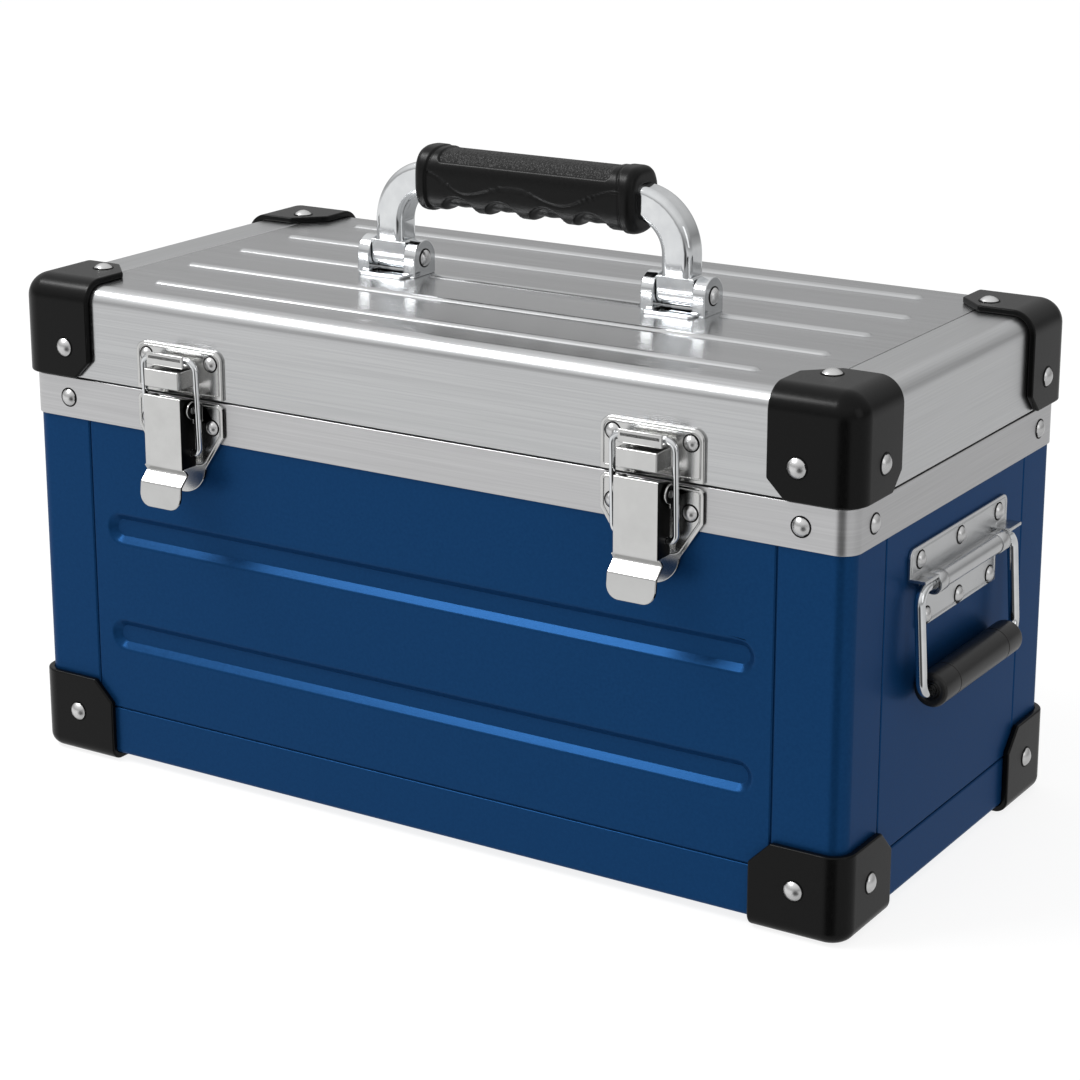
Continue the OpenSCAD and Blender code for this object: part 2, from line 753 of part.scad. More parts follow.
// Plate on the lid with a boss that meets the lever and an upward-open hook for the bail
module latch_keeper(side) {
    bottom = lid_z + 0.4;
    top = lid_z + 22.7;
    half = latch_w / 2;
    r = 5;
    boss_half = lever_w / 2 - 1;
    boss_z = pin_z + 9.8;
    hook_in = bail_r + 0.6;
    hook_r = hook_in + 1.2;
    lip = 1.8;
    color(steel) at_case() difference() {
        at_latch(side) {
            out_of_latch(0, latch_t) {
                translate([-half, bottom]) square([2 * half, top - r - bottom]);
                translate([-half + r, bottom]) square([2 * (half - r), top - bottom]);
                for (s = [-1, 1]) translate([s * (half - r), top - r]) circle(r);
            }
            across_latch(2 * boss_half) {
                translate([0, boss_z]) square([lever_out, 8]);
                translate([0, hook_z - hook_r]) square([hook_out, hook_r - hook_in]);
                difference() {
                    translate([hook_out, hook_z]) circle(hook_r);
                    translate([hook_out, hook_z]) circle(hook_in);
                    translate([0, hook_z]) square([hook_out + 2 * hook_r, 2 * hook_r]);
                }
                translate([hook_out + hook_in, hook_z - eps]) square([hook_r - hook_in, lip]);
                translate([hook_out - hook_r, hook_z - eps]) square([hook_r - hook_in, lip / 2]);
            }
        }
        set_of_keeper_rivets(true);
    }
}

module latch_keeper_left() { latch_keeper(-1); }
module latch_keeper_right() { latch_keeper(1); }
module latch_keeper_rivets() { color(chrome) at_case() set_of_keeper_rivets(); }

// ---- drop handles on the ends ----

// A front view drawn as (across, height), extruded outwards from the end panel
module out_of_end(from, to) {
    translate([skin_w + from, 0, 0]) rotate([90, 0, 90]) linear_extrude(to - from) children();
}

// Plate with the barrel that holds the bail, and two stops bent out of it
module drop_plate(side) {
    half = drop_plate_w / 2;
    low_half = half - 10;
    neck_z = drop_z + 4;
    top = drop_z + 17;
    foot = drop_z - 19.5;
    r = 4;
    stop_z = drop_z + drop_r + 1.1;
    stop_out = 8.5;
    stop_w = 5.5;
    color(steel) at_case() difference() {
        at_corner(side, 1) {
            out_of_end(0, drop_plate_t) {
                translate([-half, neck_z]) square([2 * half, top - r - neck_z]);
                translate([-half + r, neck_z]) square([2 * (half - r), top - neck_z]);
                for (s = [-1, 1]) translate([s * (half - r), top - r]) circle(r);
                translate([-low_half, foot]) square([2 * low_half, neck_z - foot + eps]);
            }
            out_of_end(drop_plate_t - eps, drop_out) translate([-drop_barrel_l / 2, drop_z - 2.5])
                square([drop_barrel_l, 5]);
            translate([drop_x, 0, drop_z]) rotate([90, 0, 0])
                cylinder(r = drop_barrel_r, h = drop_barrel_l, center = true);
            for (s = [-1, 1]) out_of_end(0, stop_out) translate([s * (half - stop_w / 2), stop_z + drop_plate_t / 2])
                square([stop_w, drop_plate_t], center = true);
        }
        at_corner(side, 1) translate([drop_x, 0, drop_z]) rotate([90, 0, 0])
            cylinder(r = drop_r + running_gap, h = 2 * drop_w, center = true);
        set_of_drop_rivets(true);
    }
}

module drop_plate_left() { drop_plate(-1); }
module drop_plate_right() { drop_plate(1); }
module drop_plate_rivets() { color(chrome) at_case() set_of_drop_rivets(); }

module at_drop_pivot(side) {
    at_case() at_corner(side, 1) translate([drop_x, 0, drop_z]) rotate([0, -drop_rest_tilt, 0]) children();
}

// Rod bail: both ends turn in the barrel, the bottom run carries the grip
module drop_bail(side) {
    half = drop_w / 2;
    end_l = 11;
    pin_l = half - drop_bend_r - drop_barrel_l / 2 + end_l;
    color(chrome) at_drop_pivot(side) {
        translate([0, 0, -drop_h]) rotate([90, 0, 0])
            cylinder(r = drop_r, h = 2 * (half - drop_bend_r), center = true);
        for (s = [-1, 1]) mirror([0, s < 0 ? 1 : 0, 0]) {
            translate([0, half - drop_bend_r, -drop_bend_r]) rotate([0, 0, 90]) mirror([0, 1, 0])
                rod_bend(drop_r, drop_bend_r);
            translate([0, half, -drop_h + drop_bend_r]) cylinder(r = drop_r, h = drop_h - 2 * drop_bend_r);
            translate([0, half - drop_bend_r, -drop_h + drop_bend_r]) rotate([0, 0, 90]) mirror([0, 0, 1])
                rod_bend(drop_r, drop_bend_r);
            translate([0, half - drop_bend_r, 0]) rotate([90, 0, 0]) cylinder(r = drop_r, h = pin_l);
        }
    }
}

// Rubber sleeve with rounded rims
module drop_grip(side) {
    rim_r = 2;
    length = drop_w - 2 * drop_bend_r - 2;
    color(black) at_drop_pivot(side) translate([0, 0, -drop_h]) rotate([90, 0, 0]) difference() {
        rotate_extrude() translate([drop_grip_r / 2, 0]) union() {
            square([drop_grip_r, length - 2 * rim_r], center = true);
            translate([-rim_r / 2, 0]) square([drop_grip_r - rim_r, length], center = true);
            for (s = [-1, 1]) translate([drop_grip_r / 2 - rim_r, s * (length / 2 - rim_r)]) circle(rim_r);
        }
        cylinder(r = drop_r + grip_gap, h = 2 * length, center = true);
    }
}

module drop_bail_left() { drop_bail(-1); }
module drop_bail_right() { drop_bail(1); }
module drop_grip_left() { drop_grip(-1); }
module drop_grip_right() { drop_grip(1); }

// ---- carrying handle ----

module at_bracket(side) { translate([side * arm_x, 0, pivot_z]) children(); }

// Bracket: two round-topped cheeks on a base with a lip at the front and the back
module handle_bracket(side) {
    base_t = 1.5;
    lip_w = 25;
    lip_d = 5;
    color(chrome) at_case() difference() {
        at_bracket(side) {
            for (s = [-1, 1]) translate([s * (bracket_w - cheek_t) / 2, 0, 0])
                rotate([90, 0, 90]) linear_extrude(cheek_t, center = true) {
                    intersection() {
                        circle(cheek_r);
                        translate([-cheek_r, -pivot_h]) square([2 * cheek_r, pivot_h + cheek_r]);
                    }
                    translate([-cheek_r, -pivot_h]) square([2 * cheek_r, pivot_h]);
                }
            translate([-bracket_w / 2, -cheek_r, -pivot_h]) cube([bracket_w, 2 * cheek_r, base_t]);
            translate([0, 0, -pivot_h]) linear_extrude(base_t) round_rect_2d(lip_w, 2 * (cheek_r + lip_d), 2);
        }
        at_bracket(side) rotate([0, 90, 0]) cylinder(r = handle_pin_r, h = 2 * bracket_w, center = true);
        set_of_bracket_screws(true);
    }
}

module handle_bracket_left() { handle_bracket(-1); }
module handle_bracket_right() { handle_bracket(1); }

// Pins with a domed head outside each cheek
module handle_pins() {
    head_r = 4;
    color(chrome) at_case() for (side = [-1, 1]) at_bracket(side) {
        rotate([0, 90, 0]) cylinder(r = handle_pin_r, h = bracket_w + 2 * eps, center = true);
        for (s = [-1, 1]) mirror([s < 0 ? 1 : 0, 0, 0]) translate([bracket_w / 2, 0, 0])
            rotate([0, 90, 0]) dome(head_r, head_h);
    }
}

backing_t = 1.6;
screw_r = 2;

// Screws that come up through backing plate and lid into the cheeks, or the holes for them
module set_of_bracket_screws(hole = false) {
    bite = 4;
    head_r = 3.6;
    head_t = 1.8;
    under = lid_top_z - lid_t - backing_t;
    for (side = [-1, 1], s = [-1, 1]) translate([side * arm_x + s * (bracket_w - cheek_t) / 2, 0, under]) {
        if (hole) {
            translate([0, 0, -1]) cylinder(r = screw_r + running_gap, h = 1 + backing_t + lid_t + bite + running_gap);
        } else {
            cylinder(r = screw_r, h = backing_t + lid_t + bite);
            translate([0, 0, -head_t]) cylinder(r = head_r, h = head_t);
        }
    }
}

module bracket_screws() { color(chrome) at_case() set_of_bracket_screws(); }

// Plate inside the lid that spreads a bracket's load
module handle_backing(side) {
    color(steel) at_case() difference() {
        translate([side * arm_x, 0, lid_top_z - lid_t - backing_t]) linear_extrude(backing_t)
            round_rect_2d(bracket_w + 16, 2 * cheek_r + 20, 4);
        set_of_bracket_screws(true);
    }
}

module handle_backing_left() { handle_backing(-1); }
module handle_backing_right() { handle_backing(1); }

// The bar's whole run: upright arms, bends and the run through the grip, grown by a clearance
module bar_run(grow) {
    straight = arm_x - arm_bend_r;
    rotate([90, 0, 90]) linear_extrude(2 * straight, center = true)
        translate([0, arm_h]) round_rect_2d(arm_d + 2 * grow, arm_w + 2 * grow, bar_edge_r);
    for (s = [-1, 1]) mirror([s < 0 ? 1 : 0, 0, 0]) {
        translate([straight, 0, arm_h - arm_bend_r]) rotate([90, 0, 0]) rotate_extrude(angle = 90)
            translate([arm_bend_r, 0]) round_rect_2d(arm_w + 2 * grow, arm_d + 2 * grow, bar_edge_r);
        translate([arm_x, 0, arm_foot]) linear_extrude(arm_h - arm_bend_r - arm_foot)
            round_rect_2d(arm_w + 2 * grow, arm_d + 2 * grow, bar_edge_r);
    }
}

// One bent bar with an eye at each end
module handle_bar() {
    eye_w = bracket_w - 2 * cheek_t - 0.8;
    color(chrome) at_case() translate([0, 0, pivot_z]) difference() {
        union() {
            bar_run(0);
            for (s = [-1, 1]) translate([s * arm_x, 0, 0]) {
                rotate([0, 90, 0]) cylinder(r = eye_r, h = eye_w, center = true);
                translate([-eye_w / 2, -eye_r, 0]) cube([eye_w, 2 * eye_r, arm_foot]);
            }
        }
        for (s = [-1, 1]) translate([s * arm_x, 0, 0]) rotate([0, 90, 0])
            cylinder(r = handle_pin_r + running_gap, h = 2 * eye_w, center = true);
    }
}

// Moulded grip with finger scallops along its underside
module handle_grip() {
    scallops = 6;
    scallop_r = 14;
    scallop_depth = 2;
    pitch = (grip_l - 18) / scallops;
    color(black) at_case() translate([0, 0, bar_z]) difference() {
        rotate([90, 0, 90]) linear_extrude(grip_l, center = true) round_rect_2d(grip_d, grip_h, 9);
        for (i = [0:scallops - 1])
            translate([(i - (scallops - 1) / 2) * pitch, 0, -grip_h / 2 - scallop_r + scallop_depth])
                rotate([90, 0, 0]) cylinder(r = scallop_r, h = 2 * grip_d, center = true);
        translate([0, 0, -arm_h]) bar_run(grip_gap);
    }
}

// ---- rear hinges ----

// Leaf with knuckles; up is 1 for the lid's leaf and -1 for the body's
module hinge_leaf(side, up) {
    knuckles = 5;
    side_gap = 0.3;
    reach = knuckle_r + 0.4;
    width = hinge_w / knuckles;
    own = up > 0 ? [1, 3] : [0, 2, 4];
    bore = up > 0 ? hinge_pin_r + running_gap : hinge_pin_r;
    color(steel) at_case() difference() {
        translate([side * hinge_x, half_d, hinge_z]) difference() {
            union() {
                translate([-hinge_w / 2, 0, up > 0 ? reach : -hinge_leaf_h])
                    cube([hinge_w, hinge_t, hinge_leaf_h - reach]);
                for (k = own) translate([(k - 2) * width - width / 2 + side_gap / 2, 0, 0]) {
                    translate([0, 0, up > 0 ? 0 : -reach - eps]) cube([width - side_gap, hinge_t, reach + eps]);
                    translate([0, hinge_out, 0]) rotate([0, 90, 0]) cylinder(r = knuckle_r, h = width - side_gap);
                }
            }
            translate([0, hinge_out, 0]) rotate([0, 90, 0]) cylinder(r = bore, h = 2 * hinge_w, center = true);
        }
        if (up > 0) set_of_upper_hinge_rivets(true);
        else set_of_lower_hinge_rivets(true);
    }
}

module hinge_lower_left() { hinge_leaf(-1, -1); }
module hinge_lower_right() { hinge_leaf(1, -1); }
module hinge_upper_left() { hinge_leaf(-1, 1); }
module hinge_upper_right() { hinge_leaf(1, 1); }
module hinge_lower_rivets() { color(chrome) at_case() set_of_lower_hinge_rivets(); }
module hinge_upper_rivets() { color(chrome) at_case() set_of_upper_hinge_rivets(); }

module hinge_pins() {
    color(chrome) at_case() for (side = [-1, 1])
        translate([side * hinge_x, half_d + hinge_out, hinge_z]) rotate([0, 90, 0])
            cylinder(r = hinge_pin_r, h = hinge_w + 1, center = true);
}

base_pan();
front_panel();
rear_panel();
end_panel_left();
end_panel_right();
corner_post_front_left();
corner_post_front_right();
corner_post_rear_left();
corner_post_rear_right();
top_band();
band_rivets();
foot_guard_front_left();
foot_guard_front_right();
foot_guard_rear_left();
foot_guard_rear_right();
foot_rivets();
latch_base_left();
latch_base_right();
latch_base_rivets();
latch_pins();
drop_plate_left();
drop_plate_right();
drop_plate_rivets();
hinge_lower_left();
hinge_lower_right();
hinge_pins();
hinge_lower_rivets();
lid_sheet();
lid_end_left();
lid_end_right();
lid_guard_front_left();
lid_guard_front_right();
lid_guard_rear_left();
lid_guard_rear_right();
lid_guard_rivets();
lid_seal();
latch_keeper_left();
latch_keeper_right();
latch_keeper_rivets();
handle_bracket_left();
handle_bracket_right();
handle_pins();
handle_backing_left();
handle_backing_right();
bracket_screws();
hinge_upper_left();
hinge_upper_right();
hinge_upper_rivets();
handle_bar();
handle_grip();
drop_bail_left();
drop_grip_left();
drop_bail_right();
drop_grip_right();
latch_lever_left();
latch_lever_right();
latch_bail_left();
latch_bail_right();
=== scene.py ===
"""Looks of the portable tool box: finishes, rolled edges, bent wires, moulded grips, studio and camera."""
import json
import math

import bmesh
import bpy
from mathutils import Matrix, Vector


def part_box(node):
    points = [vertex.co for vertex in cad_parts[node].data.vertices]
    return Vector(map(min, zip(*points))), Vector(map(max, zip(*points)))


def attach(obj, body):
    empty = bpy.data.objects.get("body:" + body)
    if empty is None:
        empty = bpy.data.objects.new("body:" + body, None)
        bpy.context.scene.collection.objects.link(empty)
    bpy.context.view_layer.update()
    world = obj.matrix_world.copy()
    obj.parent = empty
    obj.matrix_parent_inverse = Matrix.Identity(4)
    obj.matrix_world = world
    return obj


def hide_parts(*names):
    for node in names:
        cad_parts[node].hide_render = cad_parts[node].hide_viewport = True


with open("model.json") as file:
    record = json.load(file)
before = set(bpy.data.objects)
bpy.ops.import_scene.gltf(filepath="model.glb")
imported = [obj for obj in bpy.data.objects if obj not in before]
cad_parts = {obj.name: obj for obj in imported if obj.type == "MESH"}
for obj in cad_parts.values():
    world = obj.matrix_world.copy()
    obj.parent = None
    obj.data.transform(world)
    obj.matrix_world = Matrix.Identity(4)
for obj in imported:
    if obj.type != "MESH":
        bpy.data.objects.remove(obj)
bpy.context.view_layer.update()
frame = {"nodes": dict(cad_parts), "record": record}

MM = 0.001                                      # sizes are in millimetres, and meshes are made in metres
MERGE = 0.001 * MM                              # vertices closer than this are one
CASE_Y = 5.6                                    # how far the case stands behind the middle of the frame
CASE_FRONT = CASE_Y - 102.5                     # the front face of the case, on its metal band
SKIN_X, SKIN_Y, SKIN_R = 209.0, 101.5, 7.5      # half length, half depth, corner radius of the painted skin


# ---- colour and node helpers ----

def linear(hex_colour):
    """An sRGB hex colour as the linear RGBA that the shader sockets take."""
    parts = [int(hex_colour[i:i + 2], 16) / 255 for i in (1, 3, 5)]
    return tuple(c / 12.92 if c <= 0.04045 else ((c + 0.055) / 1.055) ** 2.4 for c in parts) + (1.0,)


def set_sockets(tree, node, sockets):
    """Gives each named socket of a node its value, or a link where the value is another node's output."""
    for name, value in sockets.items():
        if isinstance(value, bpy.types.NodeSocket):
            tree.links.new(value, node.inputs[name])
        else:
            node.inputs[name].default_value = value


def add_node(tree, kind, sockets=None, **settings):
    """Adds one node with its settings, its socket values and its incoming links."""
    made = tree.nodes.new(kind)
    for name, value in settings.items():
        setattr(made, name, value)
    set_sockets(tree, made, sockets or {})
    return made


def new_material(name, colour, **sockets):
    """A material with one Principled shader that has a plain colour and constant sockets to start from."""
    material = bpy.data.materials.new(name)
    material.use_nodes = True
    tree = material.node_tree
    shader = tree.nodes["Principled BSDF"]
    material.diffuse_color = linear(colour)
    set_sockets(tree, shader, {"Base Color": linear(colour)})
    set_sockets(tree, shader, {socket.replace("_", " "): value for socket, value in sockets.items()})
    return material, tree, shader


def vary(tree, shader, pattern, span, dark, light, rough_low, rough_high, depth_mm=0, strength=0,
         height=None):
    """Lets a pattern carry the small changes of colour and of roughness over a finish, and its fine relief.
    span is the part of the pattern's range that they are spread over."""
    share = add_node(tree, "ShaderNodeMapRange", {"Value": pattern, "From Min": span[0], "From Max": span[1]})
    tint = add_node(tree, "ShaderNodeMix", {0: share.outputs["Result"], 6: linear(dark), 7: linear(light)},
                    data_type="RGBA")
    rough = add_node(tree, "ShaderNodeMapRange", {"Value": pattern, "From Min": span[0], "From Max": span[1],
                                                  "To Min": rough_low, "To Max": rough_high})
    set_sockets(tree, shader, {"Base Color": tint.outputs[2], "Roughness": rough.outputs["Result"]})
    if depth_mm:
        bump = add_node(tree, "ShaderNodeBump", {"Height": height or pattern, "Distance": depth_mm * MM,
                                                 "Strength": strength})
        set_sockets(tree, shader, {"Normal": bump.outputs["Normal"]})


# ---- finishes ----

def navy_enamel():
    """Stoved enamel on steel: deep navy with fine metal flake, so that its folds shine pale blue, and an
    orange peel of about 1.4 mm that keeps the shine soft."""
    material, tree, shader = new_material("stoved enamel, navy", "#123862", Metallic=0.45,
                                          Specular_IOR_Level=0.12, Specular_Tint=linear("#9CBAD6"))
    place = add_node(tree, "ShaderNodeTexCoord").outputs["Object"]
    peel = add_node(tree, "ShaderNodeTexNoise",
                    {"Vector": place, "Scale": 700.0, "Detail": 3.0}).outputs["Fac"]
    vary(tree, shader, peel, (0.30, 0.72), "#10365F", "#133B66", 0.29, 0.34, 0.05, 0.18)
    return material


def brushed(name, dark, light, roughness, spread, grain, turn, streaks):
    """Brushed sheet: hair lines along the grain, which draw every highlight out across it. They are about
    0.8 mm apart, coarser than real ones, so that they show. spread is how far the highlights are drawn out,
    grain the direction they are turned from, streaks how much each axis is squeezed."""
    material, tree, shader = new_material(name, light, Metallic=1.0, Roughness=roughness, Anisotropic=spread,
                                          Anisotropic_Rotation=turn)
    place = add_node(tree, "ShaderNodeTexCoord").outputs["Object"]
    drawn = add_node(tree, "ShaderNodeMapping", {"Vector": place, "Scale": streaks}).outputs["Vector"]
    hair = add_node(tree, "ShaderNodeTexNoise",
                    {"Vector": drawn, "Scale": 1400.0, "Detail": 2.0}).outputs["Fac"]
    wide = add_node(tree, "ShaderNodeTexNoise",
                    {"Vector": drawn, "Scale": 180.0, "Detail": 2.0}).outputs["Fac"]
    lines = add_node(tree, "ShaderNodeMath", {0: wide, 1: 0.2, 2: hair}, operation="MULTIPLY_ADD").outputs[0]
    vary(tree, shader, lines, (0.40, 0.80), dark, light, roughness - 0.02, roughness + 0.02, 0.01, 0.08)
    across = add_node(tree, "ShaderNodeVectorTransform", {"Vector": grain}, vector_type="VECTOR",
                      convert_from="OBJECT", convert_to="WORLD").outputs["Vector"]
    set_sockets(tree, shader, {"Tangent": across})
    return material


def plated(name, dark, light, rough_low, rough_high):
    """Plated steel: a bright mirror with a cloudiness some 8 mm wide from the metal under the plating."""
    material, tree, shader = new_material(name, light, Metallic=1.0)
    place = add_node(tree, "ShaderNodeTexCoord").outputs["Object"]
    cloud = add_node(tree, "ShaderNodeTexNoise",
                     {"Vector": place, "Scale": 120.0, "Detail": 2.0}).outputs["Fac"]
    vary(tree, shader, cloud, (0.30, 0.70), dark, light, rough_low, rough_high)
    return material


def moulded(name, dark, light, rough_low, rough_high, grain_mm, depth_mm, strength, gloss=0.12):
    """Black moulded plastic or rubber: a satin skin with the fine grain that the mould leaves, drawn
    coarser than a real one so that it shows."""
    material, tree, shader = new_material(name, light, Specular_IOR_Level=gloss)
    place = add_node(tree, "ShaderNodeTexCoord").outputs["Object"]
    grain = add_node(tree, "ShaderNodeTexNoise", {"Vector": place, "Scale": 1000 / grain_mm,
                                                  "Detail": 2.0}).outputs["Fac"]
    vary(tree, shader, grain, (0.32, 0.68), dark, light, rough_low, rough_high, depth_mm, strength)
    return material


def pebbled_rubber():
    """Rubber moulded with a pebbled grip: round raised cells 1.1 mm wide, with painted shade darkening the
    valleys between them.
    """
    material, tree, shader = new_material("nitrile rubber, pebbled", "#1C1C1C", Specular_IOR_Level=0.35)
    place = add_node(tree, "ShaderNodeTexCoord").outputs["Object"]
    cells = add_node(tree, "ShaderNodeTexVoronoi", {"Vector": place, "Scale": 900.0}).outputs["Distance"]
    raised = add_node(tree, "ShaderNodeMath", {0: 1.0, 1: cells}, operation="SUBTRACT").outputs[0]
    # the cell tops keep the rubber's grey and the low valleys go near black: painted shade in the hollows
    vary(tree, shader, cells, (0.15, 0.75), "#1E1E1E", "#040404", 0.36, 0.56, 0.55, 0.9, height=raised)
    return material


def cell_foam():
    """Closed-cell foam: matt dark grey with a skin of small pores."""
    material, tree, shader = new_material("closed-cell foam, grey", "#2B2B2B", Specular_IOR_Level=0.2)
    place = add_node(tree, "ShaderNodeTexCoord").outputs["Object"]
    pores = add_node(tree, "ShaderNodeTexVoronoi", {"Vector": place, "Scale": 1100.0}).outputs["Distance"]
    vary(tree, shader, pores, (0.1, 0.6), "#171717", "#343434", 0.88, 0.98, 0.3, 0.6)
    return material


ENAMEL = navy_enamel()
LID_SHEET = brushed("aluminium, brushed lengthwise", "#BEBFC0", "#C9CACB", 0.23, 0.45, (1, 0, 0), 0.25,
                    (0.01, 1, 1))
# the lid's end caps: the lid's aluminium brushed crosswise, with its colour set lighter than the lid sheet's
# as painted light on the ends
LID_CAP_LIGHTENED = brushed("aluminium, brushed crosswise, painted lighter", "#CDCECF", "#D7D8D9", 0.32, 0.6, (0, 1, 0), 0.25,
                  (1, 0.01, 1))
BAND = brushed("stainless steel, brushed", "#BFBFC0", "#CBCBCC", 0.32, 0.6, (0, 0, 1), 0.0, (0.01, 0.01, 1))
ABS = moulded("ABS, satin black", "#060606", "#0A0A0A", 0.22, 0.27, 0.9, 0.015, 0.12, gloss=0.15)
CHROME = plated("steel, chromium plated", "#DADCDE", "#E8EAEB", 0.05, 0.08)
NICKEL = plated("steel, nickel plated", "#CCCCCB", "#D4D4D3", 0.20, 0.24)
# dark steel for the side faces of the latch base and lever: painted shade, where they lie in the shadow of
# the lever and the bail
LATCH_SIDE_SHADE = plated("steel, darkened for painted shade", "#151515", "#1E1E1E", 0.30, 0.40)
ZINC = plated("steel, zinc plated", "#CECFD0", "#D2D3D4", 0.25, 0.27)
RIVET = plated("steel, polished", "#CFCFCF", "#E0E0E0", 0.26, 0.30)
RUBBER = moulded("nitrile rubber, black", "#060606", "#0B0B0B", 0.30, 0.38, 0.8, 0.03, 0.2, gloss=0.18)
# thin black rings round rivet and pin heads: painted contact shadow where each head meets its sheet
RING_SHADOW = moulded("painted shadow, black, round a rivet head", "#050505", "#0A0A0A", 0.5, 0.6, 0.6, 0.03, 0.3)
SLEEVE = moulded("nitrile rubber, buffed", "#141414", "#1B1B1B", 0.28, 0.34, 0.8, 0.02, 0.2, gloss=0.35)
PEBBLED = pebbled_rubber()
FOAM = cell_foam()


# ---- pieces made from the CAD nodes ----

FLAT = math.radians(0.5)        # faces that meet at less than this are one flat face
CORNER = math.radians(35)       # edges sharper than this are corners
QUARTER_TURN, FULL_TURN = math.pi / 2, 2 * math.pi
UPRIGHT = 0.1                   # the most that the normal of an upright face may lean
SIDEWAYS = 0.9                  # the least share along X in the normal of a face that looks along X
SKIN_SLACK = 0.3                # how far under the painted skin a face may lie and still be part of it
BODY_OF = {node: body for body, nodes in frame["record"]["behaviour"]["bodies"].items() for node in nodes}


def show(shape, node, finishes, name=None, sharp=None):
    """Turns a bmesh into a smooth piece on the body of a CAD node. Without a name of its own it stands for
    the node."""
    mesh = bpy.data.meshes.new(name or node + "_piece")
    shape.to_mesh(mesh)
    shape.free()
    piece = bpy.data.objects.new(mesh.name, mesh)
    bpy.context.scene.collection.objects.link(piece)
    for finish in finishes:
        mesh.materials.append(finish)
    for face in mesh.polygons:
        face.use_smooth = True
    if sharp:
        mesh.set_sharp_from_angle(angle=sharp)
    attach(piece, BODY_OF[node])
    if name is None:
        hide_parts(node)
    return piece


def merged_copy(node):
    """A copy of a CAD node with its loose triangles merged into whole faces."""
    shape = bmesh.new()
    shape.from_mesh(frame["nodes"][node].data)
    bmesh.ops.remove_doubles(shape, verts=shape.verts, dist=MERGE)
    bmesh.ops.dissolve_limit(shape, angle_limit=FLAT, verts=shape.verts, edges=shape.edges)
    return shape


def on_skin(face):
    """Whether an upright face lies in the painted skin of the body."""
    way, place = face.normal, face.calc_center_median() / MM - Vector((0, CASE_Y, 0))
    skin = abs(way.x) * (SKIN_X - SKIN_R) + abs(way.y) * (SKIN_Y - SKIN_R) + SKIN_R
    return abs(way.z) < UPRIGHT and skin - way.dot(place) < SKIN_SLACK


def soften(node, finish, edge_mm, segments=2, shaded_sides=None, hidden=None):
    """Rolls over the hard edges of a CAD node, as pressed, cast or moulded edges are. The faces that look
    along X may take a dark finish of their own, which paints the shade that falls on them. With a hidden
    share, only the edges of the painted skin get the whole roll."""
    shape = merged_copy(node)
    for face in shape.faces:
        face.material_index = 1 if shaded_sides and abs(face.normal.x) > SIDEWAYS else 0
    if hidden:
        share = shape.edges.layers.float.new("bevel_weight_edge")
        skin = {face for face in shape.faces if on_skin(face)}
        for edge in shape.edges:
            if edge.is_manifold and edge.calc_face_angle() > CORNER:
                edge[share] = 1.0 if skin.intersection(edge.link_faces) else hidden
    piece = show(shape, node, [finish, shaded_sides] if shaded_sides else [finish], sharp=None if edge_mm else CORNER)
    if edge_mm:
        roll = piece.modifiers.new("rolled edge", "BEVEL")
        roll.width = edge_mm * MM
        roll.segments = segments
        roll.limit_method = "WEIGHT" if hidden else "ANGLE"
        roll.angle_limit = CORNER
        roll.use_clamp_overlap = False
    shading = piece.modifiers.new("even shading", "WEIGHTED_NORMAL")
    shading.keep_sharp = True


def paint(node):
    """A painted sheet, 1 mm thick, with its outer edges well rolled and its hidden ones just broken."""
    soften(node, ENAMEL, 0.8, 3, hidden=0.2)


CORNERS = ["front_left", "front_right", "rear_left", "rear_right"]
SIDES = {"left": -1, "right": 1}
RIVETS = ["band_rivets", "foot_rivets", "latch_base_rivets", "drop_plate_rivets", "hinge_lower_rivets",
          "lid_guard_rivets", "latch_keeper_rivets", "hinge_upper_rivets"]

for node in ("base_pan", "front_panel", "rear_panel"):
    paint(node)
for side in SIDES:
    paint("end_panel_" + side)
    # the lid's ends in the lighter aluminium that paints light on them
    soften("lid_end_" + side, LID_CAP_LIGHTENED, 0.3)
    # the side faces of each latch base and lever take the dark steel of painted shade
    soften("latch_base_" + side, NICKEL, 0.4, shaded_sides=LATCH_SIDE_SHADE)
    soften("latch_keeper_" + side, NICKEL, 0.5, 3)
    soften("latch_lever_" + side, NICKEL, 0.5, 3, shaded_sides=LATCH_SIDE_SHADE)
    soften("drop_plate_" + side, ZINC, 0.35)
    soften("handle_bracket_" + side, CHROME, 0.6, 3)
    soften("handle_backing_" + side, ZINC, 0.3)
    soften("hinge_lower_" + side, ZINC, 0.25)
    soften("hinge_upper_" + side, ZINC, 0.25)
for corner in CORNERS:
    paint("corner_post_" + corner)
    soften("foot_guard_" + corner, ABS, 0.9, 3)
    soften("lid_guard_" + corner, ABS, 0.9, 3)
soften("top_band", BAND, 0.3)
soften("lid_sheet", LID_SHEET, 0.3)
soften("handle_bar", CHROME, 0.3)
soften("lid_seal", FOAM, 0)
for node in RIVETS + ["bracket_screws", "latch_pins", "handle_pins", "hinge_pins"]:
    soften(node, RIVET, 0)


# ---- turned and bent pieces ----

def turned(outline, steps=32):
    """A shape turned about Z from a closed outline of (radius, height) in millimetres."""
    shape = bmesh.new()
    ring = [shape.verts.new((radius * MM, 0, height * MM)) for radius, height in outline]
    edges = [shape.edges.new(pair) for pair in zip(ring, ring[1:] + ring[:1])]
    bmesh.ops.spin(shape, geom=ring + edges, axis=(0, 0, 1), cent=(0, 0, 0), angle=FULL_TURN, steps=steps,
                   use_merge=True)
    bmesh.ops.remove_doubles(shape, verts=shape.verts, dist=MERGE)
    bmesh.ops.recalc_face_normals(shape, faces=shape.faces)
    return shape


BEND_STEPS = 10


